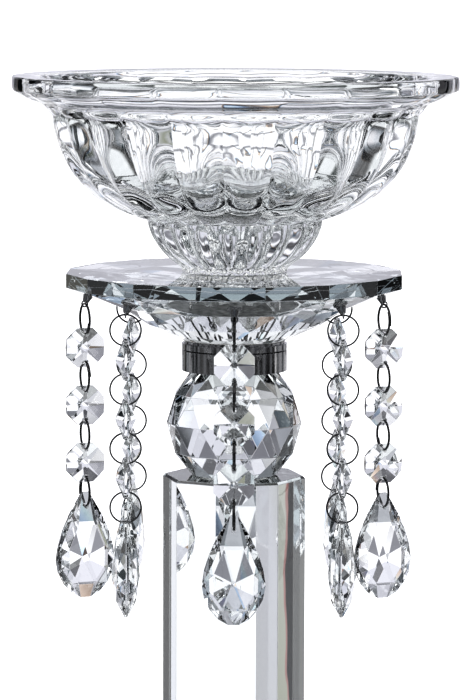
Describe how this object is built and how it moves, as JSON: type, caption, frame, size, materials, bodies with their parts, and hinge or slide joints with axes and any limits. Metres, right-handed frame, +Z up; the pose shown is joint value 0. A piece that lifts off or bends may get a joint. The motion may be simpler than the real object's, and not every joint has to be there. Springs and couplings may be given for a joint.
{
  "type": "candlestick",
  "caption": "Crystal candlestick: a lobed glass bowl on a faceted plate hung with bead and teardrop strands, over a faceted ball, an octagonal column and a faceted foot.",
  "frame": {"origin": "centre of the underside of the base pad, on the surface that the candlestick stands on", "axes": "+Z up along the column, -Y towards the front, +X to the right seen from the front"},
  "size_m": [0.158, 0.158, 0.3095],
  "materials": {
    "bowl_glass": "clear pressed glass, fire polished",
    "crystal": "clear cut crystal, polished flat facets",
    "gunmetal": "polished black nickel plate",
    "clear_rubber": "translucent satin"
  },
  "bodies": {
    "stand": {"base_pad": "clear_rubber", "base": "crystal", "lower_collar_cup": "gunmetal", "lower_collar_disc": "gunmetal", "lower_stud": "gunmetal", "column": "crystal", "ball": "crystal", "upper_collar_cup": "gunmetal", "upper_collar_disc": "gunmetal", "upper_stud": "gunmetal", "bobeche": "crystal", "bowl": "bowl_glass", "front_hook": "gunmetal", "front_right_hook": "gunmetal", "right_hook": "gunmetal", "back_right_hook": "gunmetal", "back_hook": "gunmetal", "back_left_hook": "gunmetal", "left_hook": "gunmetal", "front_left_hook": "gunmetal"},
    "front_link_1": {"front_link_1": "crystal"},
    "front_link_2": {"front_link_2": "crystal"},
    "front_link_3": {"front_link_3": "crystal"},
    "front_drop": {"front_drop": "crystal"},
    "front_right_link_1": {"front_right_link_1": "crystal"},
    "front_right_link_2": {"front_right_link_2": "crystal"},
    "front_right_link_3": {"front_right_link_3": "crystal"},
    "front_right_drop": {"front_right_drop": "crystal"},
    "right_link_1": {"right_link_1": "crystal"},
    "right_link_2": {"right_link_2": "crystal"},
    "right_link_3": {"right_link_3": "crystal"},
    "right_drop": {"right_drop": "crystal"},
    "back_right_link_1": {"back_right_link_1": "crystal"},
    "back_right_link_2": {"back_right_link_2": "crystal"},
    "back_right_link_3": {"back_right_link_3": "crystal"},
    "back_right_drop": {"back_right_drop": "crystal"},
    "back_link_1": {"back_link_1": "crystal"},
    "back_link_2": {"back_link_2": "crystal"},
    "back_link_3": {"back_link_3": "crystal"},
    "back_drop": {"back_drop": "crystal"},
    "back_left_link_1": {"back_left_link_1": "crystal"},
    "back_left_link_2": {"back_left_link_2": "crystal"},
    "back_left_link_3": {"back_left_link_3": "crystal"},
    "back_left_drop": {"back_left_drop": "crystal"},
    "left_link_1": {"left_link_1": "crystal"},
    "left_link_2": {"left_link_2": "crystal"},
    "left_link_3": {"left_link_3": "crystal"},
    "left_drop": {"left_drop": "crystal"},
    "front_left_link_1": {"front_left_link_1": "crystal"},
    "front_left_link_2": {"front_left_link_2": "crystal"},
    "front_left_link_3": {"front_left_link_3": "crystal"},
    "front_left_drop": {"front_left_drop": "crystal"}
  },
  "joints": [
    {"name": "front_link_1_swing", "type": "hinge", "parent": "stand", "child": "front_link_1", "pos_m": [0, -0.05327, 0.22296], "axis": [-1, 0, 0], "range_deg": [-4, 15]},
    {"name": "front_link_2_swing", "type": "hinge", "parent": "front_link_1", "child": "front_link_2", "pos_m": [0, -0.05327, 0.20772], "axis": [0, -1, 0], "range_deg": [-6, 6]},
    {"name": "front_link_3_swing", "type": "hinge", "parent": "front_link_2", "child": "front_link_3", "pos_m": [0, -0.05327, 0.18168], "axis": [-1, 0, 0], "range_deg": [-4, 15]},
    {"name": "front_drop_swing", "type": "hinge", "parent": "front_link_3", "child": "front_drop", "pos_m": [0, -0.05327, 0.16644], "axis": [0, -1, 0], "range_deg": [-6, 6]},
    {"name": "front_right_link_1_swing", "type": "hinge", "parent": "stand", "child": "front_right_link_1", "pos_m": [0.03767, -0.03767, 0.22296], "axis": [-0.0872, -0.9962, 0], "range_deg": [-4, 15]},
    {"name": "front_right_link_2_swing", "type": "hinge", "parent": "front_right_link_1", "child": "front_right_link_2", "pos_m": [0.03767, -0.03767, 0.20772], "axis": [-0.9962, 0.0872, 0], "range_deg": [-4, 15]},
    {"name": "front_right_link_3_swing", "type": "hinge", "parent": "front_right_link_2", "child": "front_right_link_3", "pos_m": [0.03767, -0.03767, 0.18168], "axis": [-0.0872, -0.9962, 0], "range_deg": [-4, 15]},
    {"name": "front_right_drop_swing", "type": "hinge", "parent": "front_right_link_3", "child": "front_right_drop", "pos_m": [0.03767, -0.03767, 0.16644], "axis": [-0.9962, 0.0872, 0], "range_deg": [-4, 15]},
    {"name": "right_link_1_swing", "type": "hinge", "parent": "stand", "child": "right_link_1", "pos_m": [0.05327, 0, 0.22296], "axis": [-0.9397, -0.342, 0], "range_deg": [-6, 6]},
    {"name": "right_link_2_swing", "type": "hinge", "parent": "right_link_1", "child": "right_link_2", "pos_m": [0.05327, 0, 0.20772], "axis": [0.342, -0.9397, 0], "range_deg": [-4, 15]},
    {"name": "right_link_3_swing", "type": "hinge", "parent": "right_link_2", "child": "right_link_3", "pos_m": [0.05327, 0, 0.18168], "axis": [-0.9397, -0.342, 0], "range_deg": [-6, 6]},
    {"name": "right_drop_swing", "type": "hinge", "parent": "right_link_3", "child": "right_drop", "pos_m": [0.05327, 0, 0.16644], "axis": [0.342, -0.9397, 0], "range_deg": [-4, 15]},
    {"name": "back_right_link_1_swing", "type": "hinge", "parent": "stand", "child": "back_right_link_1", "pos_m": [0.03767, 0.03767, 0.22296], "axis": [0.0872, -0.9962, 0], "range_deg": [-4, 15]},
    {"name": "back_right_link_2_swing", "type": "hinge", "parent": "back_right_link_1", "child": "back_right_link_2", "pos_m": [0.03767, 0.03767, 0.20772], "axis": [0.9962, 0.0872, 0], "range_deg": [-4, 15]},
    {"name": "back_right_link_3_swing", "type": "hinge", "parent": "back_right_link_2", "child": "back_right_link_3", "pos_m": [0.03767, 0.03767, 0.18168], "axis": [0.0872, -0.9962, 0], "range_deg": [-4, 15]},
    {"name": "back_right_drop_swing", "type": "hinge", "parent": "back_right_link_3", "child": "back_right_drop", "pos_m": [0.03767, 0.03767, 0.16644], "axis": [0.9962, 0.0872, 0], "range_deg": [-4, 15]},
    {"name": "back_link_1_swing", "type": "hinge", "parent": "stand", "child": "back_link_1", "pos_m": [0, 0.05327, 0.22296], "axis": [1, 0, 0], "range_deg": [-4, 15]},
    {"name": "back_link_2_swing", "type": "hinge", "parent": "back_link_1", "child": "back_link_2", "pos_m": [0, 0.05327, 0.20772], "axis": [0, 1, 0], "range_deg": [-6, 6]},
    {"name": "back_link_3_swing", "type": "hinge", "parent": "back_link_2", "child": "back_link_3", "pos_m": [0, 0.05327, 0.18168], "axis": [1, 0, 0], "range_deg": [-4, 15]},
    {"name": "back_drop_swing", "type": "hinge", "parent": "back_link_3", "child": "back_drop", "pos_m": [0, 0.05327, 0.16644], "axis": [0, 1, 0], "range_deg": [-6, 6]},
    {"name": "back_left_link_1_swing", "type": "hinge", "parent": "stand", "child": "back_left_link_1", "pos_m": [-0.03767, 0.03767, 0.22296], "axis": [0.0872, 0.9962, 0], "range_deg": [-4, 15]},
    {"name": "back_left_link_2_swing", "type": "hinge", "parent": "back_left_link_1", "child": "back_left_link_2", "pos_m": [-0.03767, 0.03767, 0.20772], "axis": [0.9962, -0.0872, 0], "range_deg": [-4, 15]},
    {"name": "back_left_link_3_swing", "type": "hinge", "parent": "back_left_link_2", "child": "back_left_link_3", "pos_m": [-0.03767, 0.03767, 0.18168], "axis": [0.0872, 0.9962, 0], "range_deg": [-4, 15]},
    {"name": "back_left_drop_swing", "type": "hinge", "parent": "back_left_link_3", "child": "back_left_drop", "pos_m": [-0.03767, 0.03767, 0.16644], "axis": [0.9962, -0.0872, 0], "range_deg": [-4, 15]},
    {"name": "left_link_1_swing", "type": "hinge", "parent": "stand", "child": "left_link_1", "pos_m": [-0.05327, 0, 0.22296], "axis": [0.9397, 0.342, 0], "range_deg": [-6, 6]},
    {"name": "left_link_2_swing", "type": "hinge", "parent": "left_link_1", "child": "left_link_2", "pos_m": [-0.05327, 0, 0.20772], "axis": [-0.342, 0.9397, 0], "range_deg": [-4, 15]},
    {"name": "left_link_3_swing", "type": "hinge", "parent": "left_link_2", "child": "left_link_3", "pos_m": [-0.05327, 0, 0.18168], "axis": [0.9397, 0.342, 0], "range_deg": [-6, 6]},
    {"name": "left_drop_swing", "type": "hinge", "parent": "left_link_3", "child": "left_drop", "pos_m": [-0.05327, 0, 0.16644], "axis": [-0.342, 0.9397, 0], "range_deg": [-4, 15]},
    {"name": "front_left_link_1_swing", "type": "hinge", "parent": "stand", "child": "front_left_link_1", "pos_m": [-0.03767, -0.03767, 0.22296], "axis": [-0.0872, 0.9962, 0], "range_deg": [-4, 15]},
    {"name": "front_left_link_2_swing", "type": "hinge", "parent": "front_left_link_1", "child": "front_left_link_2", "pos_m": [-0.03767, -0.03767, 0.20772], "axis": [-0.9962, -0.0872, 0], "range_deg": [-4, 15]},
    {"name": "front_left_link_3_swing", "type": "hinge", "parent": "front_left_link_2", "child": "front_left_link_3", "pos_m": [-0.03767, -0.03767, 0.18168], "axis": [-0.0872, 0.9962, 0], "range_deg": [-4, 15]},
    {"name": "front_left_drop_swing", "type": "hinge", "parent": "front_left_link_3", "child": "front_left_drop", "pos_m": [-0.03767, -0.03767, 0.16644], "axis": [-0.9962, -0.0872, 0], "range_deg": [-4, 15]}
  ]
}
